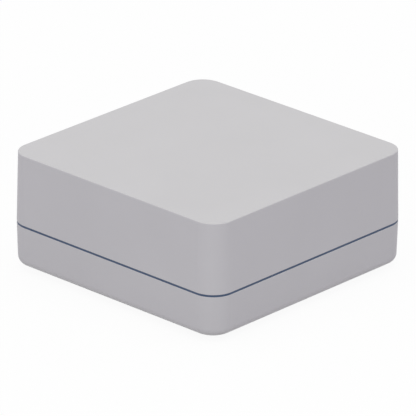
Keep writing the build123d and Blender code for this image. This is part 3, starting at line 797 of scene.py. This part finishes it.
def jog(start, end, axis):
    """A route along one axis that crosses over to its end at 45 degrees, half-way."""
    shift = abs(end[1 - axis] - start[1 - axis])
    if shift < TOUCHING:
        return [start, end]
    length = end[axis] - start[axis]
    before = math.copysign((abs(length) - shift) / 2, length)
    return [*run(start, axis, before), *reversed(run(end, axis, -before))]


def cut_corners(cut, *corners):
    """A route through square corners, each cut off at 45 degrees."""
    corners = [Vector(corner) for corner in corners]
    route = corners[:1]
    for before, corner, after in zip(corners, corners[1:], corners[2:]):
        back, ahead = before - corner, after - corner
        size = min(cut, back.length / 2, ahead.length / 2)
        route += [corner + back.normalized() * size, corner + ahead.normalized() * size]
    return route + corners[-1:]


def processor_routes(lane):
    """Routes among processor, memory and small capacitors, and those that end in a plated hole."""
    left, right, front, rear = (
        lead_tips("processor_lead_frame", axis, end) for axis in (0, 1) for end in (0, 1)
    )
    memory_front, memory_rear = (lead_tips("memory_lead_frame", 1, end) for end in (0, 1))
    through = [jog(front[index], tip, 1) for index, tip in zip(MEMORY_LEADS, memory_rear)]
    through += [jog(rear[index], side(box, 1, 0), 1) for index, box in zip(SUPPLY_LEADS, small_capacitors(1))]
    # Two tracks go round each side of the memory
    for way, starts, ends in ((-1, memory_front[:2], left), (1, memory_front[:1:-1], right)):
        for out, (start, end) in enumerate(zip(starts, ends), start=CUT):
            turn_x, turn_y = end.x + way * out * lane, start.y - out * lane
            corners = ((start.x, turn_y), (turn_x, turn_y), (turn_x, end.y))
            through.append(cut_corners(CUT * lane, start, *corners, end))
    ended = [run(tip, 1, -STUB * lane) for index, tip in enumerate(front) if index not in MEMORY_LEADS]
    ended += [run(tip, 1, STUB * lane) for index, tip in enumerate(rear) if index not in SUPPLY_LEADS]
    ended += [run(tip, 0, (LONG_STUB + order * STAGGER) * lane) for order, tip in enumerate(right[2:4])]
    radio_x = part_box("rf_shield_lid")[1].x
    for order, tip in enumerate(left[2:]):
        ended.append([tip, Vector((radio_x + (PROCESSOR_HOLES + order % 2 * STAGGER) * lane, tip.y))])
    return through, ended


def rear_routes(lane):
    """Routes from port, surge protector, switch and lamp, and those that end in a plated hole."""
    surge_front, surge_rear = (lead_tips("surge_protector", 1, end) for end in (0, 1))
    port_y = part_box("usb_c_shell")[0].y - lane
    through = [jog(tip, Vector((out * lane, port_y)), 1) for out, tip in enumerate(surge_rear[:2], start=1)]
    switch_low, switch_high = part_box("switch_body")
    lamp_low, lamp_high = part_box("status_led")
    press = Vector((switch_low.x + SWITCH_LEAD * lane, switch_low.y))
    drops = (LONG_STUB, LONG_STUB - 1, 0)
    ends = lead_tips("processor_lead_frame", 0, 1)[6:3:-1]
    starts = (*surge_front[:2], press)
    for out, (start, drop, end) in enumerate(zip(starts, drops, ends), start=LONG_STUB):
        turn_x, turn_y = end.x + out * lane, surge_front[0].y - drop * lane
        corners = ((start.x, turn_y), (turn_x, turn_y), (turn_x, end.y))
        through.append(cut_corners(3 * CUT * lane, start, *corners, end))
    lamp_hole = Vector((lamp_high.x - STAGGER * lane, lamp_low.y - 3 * LONG_STUB * lane))
    ended = [
        run(surge_front[2], 1, -STUB * lane),
        run(surge_rear[2], 1, STUB * lane),
        run(Vector((switch_high.x - SWITCH_LEAD * lane, switch_low.y)), 1, -LONG_STUB * lane),
        run(Vector((lamp_high.x - LAMP_LEAD * lane, lamp_low.y)), 1, -LONG_STUB * lane),
        jog(Vector((lamp_low.x + LAMP_LEAD * lane, lamp_low.y)), lamp_hole, 1),
    ]
    return through, ended


def resistor_routes(lane):
    """Routes from the row of resistors to the radio, and those that end in a plated hole."""
    radio_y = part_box("rf_shield_lid")[0].y
    boxes = solids_of("small_resistors")
    through = [run(side(box, 1, 1), 1, radio_y - box[1].y) for box in boxes]
    ended = [run(side(box, 1, 0), 1, -(STUB + order % 2 * STAGGER) * lane) for order, box in enumerate(boxes)]
    return through, ended


def feed_routes(lane):
    """Routes from the radio to the feed leg of each antenna, which is the second from its ground end."""
    front_legs, left_legs = (
        solids_of(name, up_to=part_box(name)[0].z + TOUCHING) for name in ("front_antenna", "left_antenna")
    )
    front_feed = side(in_order(front_legs, 0)[1], 1, 1)
    left_feed = side(in_order(left_legs, 1)[-2], 0, 1)
    radio_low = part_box("rf_shield_lid")[0]
    # Between the two resistors next to the leg, and level with the filter in the radio
    middles = sorted(side(box, 1, 0).x for box in solids_of("small_resistors"))
    gaps = [(first + second) / 2 for first, second in zip(middles, middles[1:])]
    gap_x = min(gaps, key=lambda gap: abs(gap - front_feed.x))
    filter_y = side(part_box("antenna_filter"), 0, 0).y
    turn_x = (left_feed.x + radio_low.x) / 2
    return [
        jog(Vector((gap_x, radio_low.y)), front_feed, 1),
        cut_corners(
            2 * CUT * lane, (radio_low.x, filter_y), (turn_x, filter_y), (turn_x, left_feed.y), left_feed
        ),
    ]


def power_routes(lane, fuse_terminal):
    """Wide routes of the supply: port, fuse, tall capacitors, inductor, regulator, small capacitors."""
    inset = POWER_INSET * lane
    fuse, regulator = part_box("resettable_fuse"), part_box("voltage_regulator")
    inductor_low, inductor_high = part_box("power_inductor")
    first, second = in_order(solids_of("capacitor_bases"), 0)
    row, column = small_capacitors(1), small_capacitors(0)
    port_x, port_y = -SUPPLY_PINS * lane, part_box("usb_c_shell")[0].y - lane
    fuse_x, fuse_y = fuse[0].x + fuse_terminal / 2, side(fuse, 0, 0).y
    link_y, output_y, input_y = first[0].y + inset, inductor_low.y + inset, regulator[0].y + inset
    supply_x, supply_y = side(regulator, 1, 0).x, row[0][1].y + inset
    ground_x = column[0][1].x + inset
    return [
        cut_corners(CUT * lane, (port_x, port_y), (port_x, fuse_y), (fuse[1].x, fuse_y)),
        [Vector((fuse_x, fuse[0].y)), Vector((fuse_x, second[1].y))],
        [Vector((first[1].x, link_y)), Vector((second[0].x, link_y))],
        [Vector((second[1].x, output_y)), Vector((inductor_low.x, output_y))],
        [Vector((inductor_high.x, input_y)), Vector((regulator[0].x, input_y))],
        cut_corners(
            CUT * lane, (supply_x, regulator[0].y), (supply_x, supply_y), (row[-1][1].x, supply_y)
        ),
        [Vector((ground_x, column[0][0].y - lane)), Vector((ground_x, column[-1][1].y + lane))],
    ]


def supply_routes(supply_y, ground_x):
    """Narrow routes from the small capacitors to the wide tracks beside them, and to the regulator."""
    through = [run(side(box, 1, 1), 1, supply_y - box[1].y) for box in small_capacitors(1)]
    regulator_side = side(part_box("voltage_regulator"), 0, 1)
    for box in small_capacitors(0):
        near, far = side(box, 0, 0), side(box, 0, 1)
        through.append(run(far, 0, ground_x - far.x))
        through.append(jog(regulator_side.lerp(Vector((regulator_side.x, near.y)), 0.5), near, 0))
    return through


def hole_row(first, last, pitch):
    """Places of plated holes at even distances, about the pitch apart."""
    first, last = Vector(first), Vector(last)
    steps = round((last - first).length / pitch)
    return [first.lerp(last, step / steps) for step in range(steps + 1)]


def stitching_holes(lane, pitch, ground):
    """Plated holes that join both faces: along the edge, round the radio and beside the ground track."""
    inset = HOLE_INSET * lane
    (low, high), board_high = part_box("rf_shield_lid"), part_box("main_board")[1]
    edge_x, edge_y = board_high.x - inset, board_high.y * STITCHED_SHARE
    near, far = ground
    rows = [
        ((edge_x, -edge_y), (edge_x, edge_y)),
        ((low.x - inset, low.y + inset), (low.x - inset, side(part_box("radio_chip"), 1, 1).y)),
        ((high.x + inset, low.y + inset), (high.x + inset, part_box("processor_chip")[0].y)),
        ((low.x + inset, high.y + inset), (high.x - inset, high.y + inset)),
    ]
    holes = [hole for first, last in rows for hole in hole_row(first, last, pitch)]
    for out in (1, 2):
        x = near.x + out * HOLE_INSET * lane
        holes += hole_row((x, near.y + lane), (x, far.y - lane), HOLE_INSET * lane)
    return holes


def add_tracks(shape, routes, width, height, top):
    """Tracks under the solder mask: flat ribbons with soft shoulders, half sunk in the board."""
    curve = bpy.data.curves.new("track_routes", "CURVE")
    curve.dimensions = "3D"
    curve.twist_mode = "Z_UP"
    curve.bevel_depth = width / 2
    curve.bevel_resolution = 1
    curve.use_fill_caps = True
    for route in routes:
        spline = curve.splines.new("POLY")
        spline.points.add(len(route) - 1)
        for point, place in zip(spline.points, route):
            point.co = (*place, 0.0, 1.0)
    line = bpy.data.objects.new("track_routes", curve)
    mesh = bpy.data.meshes.new_from_object(line)
    flat = Matrix.Diagonal((1.0, 1.0, height / curve.bevel_depth, 1.0))
    mesh.transform(Matrix.Translation((0.0, 0.0, top)) @ flat)
    shape.from_mesh(mesh)
    bpy.data.meshes.remove(mesh)
    bpy.data.objects.remove(line)
    bpy.data.curves.remove(curve)


def add_vias(shape, places, diameter, height, top):
    """Plated holes under the solder mask: low rings with a dimple."""
    radius = diameter / 2
    crowns = []
    for place in places:
        ring = grown(place.to_3d(), place.to_3d(), radius, top - height, top + height)
        verts = add_disc(shape, *ring, VIA_SEGMENTS, VIA_CROWN)
        faces = dict.fromkeys(face for vert in verts for face in vert.link_faces)
        crowns.append(max(faces, key=lambda face: face.calc_center_median().z))
    shape.normal_update()
    bmesh.ops.inset_individual(shape, faces=crowns, thickness=radius * VIA_RIM, depth=-VIA_DIMPLE * height)


class BuildTracks(bpy.types.Operator):
    """Builds the copper tracks and plated holes that show through the board's solder mask"""

    bl_idname = "repeater.build_tracks"
    bl_label = "Tracks"

    def execute(self, context):
        finish = context.scene.repeater_finish
        detail = context.scene.repeater_detail
        lane, height = detail.track_spacing, detail.track_height
        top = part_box("main_board")[1].z
        power = power_routes(lane, detail.fuse_terminal)
        supply_row, ground = power[-2:]
        signals, ended = supply_routes(supply_row[-1].y, ground[-1].x), []
        for find_routes in (processor_routes, rear_routes, resistor_routes):
            through, to_holes = find_routes(lane)
            signals += through
            ended += to_holes
        shape = bmesh.new()
        add_tracks(shape, signals + ended, detail.signal_track, height, top)
        add_tracks(shape, feed_routes(lane), detail.feed_track, height, top)
        add_tracks(shape, power, detail.power_track, height * POWER_RISE, top)
        holes = [route[-1] for route in ended] + stitching_holes(lane, detail.stitching, ground)
        add_vias(shape, holes, detail.via, height * VIA_RISE, top)
        copper = solder_masked_copper("solder_masked_copper", finish.tracks)
        add_piece("copper_tracks", shape, copper, "board_laminate")
        return {"FINISHED"}


# The stage

def camera_axes(azimuth, elevation, roll):
    """The camera's right, up and backward directions."""
    back = Vector((
        math.sin(azimuth) * math.cos(elevation), -math.cos(azimuth) * math.cos(elevation), math.sin(elevation)
    ))
    right = Vector((math.cos(azimuth), math.sin(azimuth), 0.0))
    turn = Matrix.Rotation(roll, 3, back)
    return turn @ right, turn @ back.cross(right), back


def add_camera(stage):
    right, up, back = camera_axes(stage.azimuth, stage.elevation, stage.roll)
    metres_per_pixel = stage.distance / stage.focal_pixels
    circled = Vector((0.0, 0.0, stage.aim_height))
    centre = IMAGE_PIXELS / 2
    aim = circled - right * (stage.aim_x - centre) * metres_per_pixel
    aim += up * (stage.aim_y - centre) * metres_per_pixel
    data = bpy.data.cameras.new("camera")
    data.sensor_width = SENSOR_WIDTH
    data.lens = stage.focal_pixels / IMAGE_PIXELS * SENSOR_WIDTH
    data.clip_start = stage.distance / CLIP_FACTOR
    data.clip_end = stage.distance * CLIP_FACTOR
    camera = add_object("camera", data)
    camera.matrix_world = Matrix.Translation(aim + back * stage.distance) @ Matrix(
        (right, up, back)
    ).transposed().to_4x4()
    bpy.context.scene.camera = camera


def add_lamp(name, position, strength, tint):
    """A square soft lamp that points at the object, and is as bright there at any distance."""
    data = bpy.data.lights.new(name, "AREA")
    data.shape = "SQUARE"
    data.size = LAMP_WIDTH
    data.color = tint
    place = Vector(position)
    data.energy = strength * math.pi * place.length_squared
    lamp = add_object(name, data)
    lamp.location = place
    lamp.rotation_euler = place.to_track_quat("Z", "Y").to_euler()


def seen_directly(tree):
    """One for rays that come from the camera, a mirror or clear plastic, and nought for all others."""
    path = add_node(tree, "ShaderNodeLightPath")
    glossy = add_node(
        tree, "ShaderNodeMath",
        {0: path.outputs["Is Camera Ray"], 1: path.outputs["Is Glossy Ray"]}, operation="MAXIMUM",
    )
    return add_node(
        tree, "ShaderNodeMath",
        {0: glossy.outputs["Value"], 1: path.outputs["Is Transmission Ray"]}, operation="MAXIMUM",
    ).outputs["Value"]


def light_world(strength, tint):
    """An even sky that lights with the given strength and tint, and shows as plain white."""
    world = bpy.data.worlds.new("studio_sky")
    tree = empty_tree(world)
    light = add_node(tree, "ShaderNodeBackground", {"Color": (*tint, 1.0), "Strength": strength})
    shown = add_node(tree, "ShaderNodeBackground", {"Color": (1.0, 1.0, 1.0, 1.0), "Strength": 1.0})
    mix = add_node(
        tree, "ShaderNodeMixShader",
        {0: seen_directly(tree), 1: light.outputs["Background"], 2: shown.outputs["Background"]},
    )
    add_node(tree, "ShaderNodeOutputWorld", {"Surface": mix.outputs["Shader"]})
    bpy.context.scene.world = world


def add_floor():
    """A pale floor that shows white to the camera and keeps the object's shadow."""
    mesh = bpy.data.meshes.new("floor")
    shape = bmesh.new()
    sunk = Matrix.Translation((0.0, 0.0, -FLOOR_GAP))
    bmesh.ops.create_grid(shape, x_segments=1, y_segments=1, size=FLOOR_REACH, matrix=sunk)
    shape.to_mesh(mesh)
    shape.free()
    floor = add_object("floor", mesh)
    material = bpy.data.materials.new("painted_studio_floor")
    tree = empty_tree(material)
    seen = seen_directly(tree)
    albedo = add_node(tree, "ShaderNodeMapRange", {"Value": seen, "To Min": FLOOR_ALBEDO, "To Max": 1.0})
    paint = add_node(tree, "ShaderNodeBsdfDiffuse", {"Color": albedo.outputs["Result"]})
    glow = add_node(tree, "ShaderNodeEmission", {"Color": (1.0, 1.0, 1.0, 1.0), "Strength": 1.0})
    share = add_node(tree, "ShaderNodeMath", {0: seen, 1: FLOOR_GLOW_SHARE}, operation="MULTIPLY")
    mix = add_node(
        tree, "ShaderNodeMixShader",
        {0: share.outputs["Value"], 1: paint.outputs["BSDF"], 2: glow.outputs["Emission"]},
    )
    add_node(tree, "ShaderNodeOutputMaterial", {"Surface": mix.outputs["Shader"]})
    mesh.materials.append(material)


class SetStage(bpy.types.Operator):
    """Sets up the floor, the soft studio light and the camera"""

    bl_idname = "repeater.set_stage"
    bl_label = "Stage"

    def execute(self, context):
        stage = context.scene.repeater_stage
        add_camera(stage)
        light_world(stage.sky, stage.sky_tint)
        add_lamp("overhead_lamp", OVERHEAD_PLACE, stage.overhead, stage.overhead_tint)
        add_lamp("side_lamp", SIDE_PLACE, stage.side, stage.side_tint)
        add_floor()
        context.scene.view_settings.view_transform = "Standard"
        return {"FINISHED"}


class RepeaterPanel(bpy.types.Panel):
    """Lists the repeater's finishes and builders in the sidebar"""

    bl_idname = "VIEW3D_PT_repeater"
    bl_label = "Signal Repeater"
    bl_space_type = "VIEW_3D"
    bl_region_type = "UI"
    bl_category = "Repeater"

    def draw(self, context):
        for group_name in GROUPS:
            group = getattr(context.scene, group_name)
            for name in group.bl_rna.properties.keys():
                if name not in ("name", "rna_type"):
                    self.layout.prop(group, name)
        for operator in OPERATORS:
            self.layout.operator(operator.bl_idname)


OPERATORS = (
    SetStage, DressHousing, BuildFeet, DressRearWall, DressBoard, BuildTracks, BuildTerminals, BuildSolder,
)
GROUPS = {
    "repeater_finish": RepeaterFinish, "repeater_detail": RepeaterDetail, "repeater_stage": RepeaterStage,
}
CLASSES = (*GROUPS.values(), *OPERATORS, RepeaterPanel)


def register():
    for item in CLASSES:
        bpy.utils.register_class(item)
    for group_name, group in GROUPS.items():
        setattr(bpy.types.Scene, group_name, PointerProperty(type=group))


def unregister():
    for group_name in GROUPS:
        delattr(bpy.types.Scene, group_name)
    for item in reversed(CLASSES):
        bpy.utils.unregister_class(item)


def main():
    register()
    bpy.ops.repeater.set_stage()
    bpy.ops.repeater.dress_housing()
    bpy.ops.repeater.build_feet()
    bpy.ops.repeater.dress_rear_wall()
    bpy.ops.repeater.dress_board()
    bpy.ops.repeater.build_tracks()
    bpy.ops.repeater.build_terminals()
    bpy.ops.repeater.build_solder()


if __name__ == "__main__":
    main()
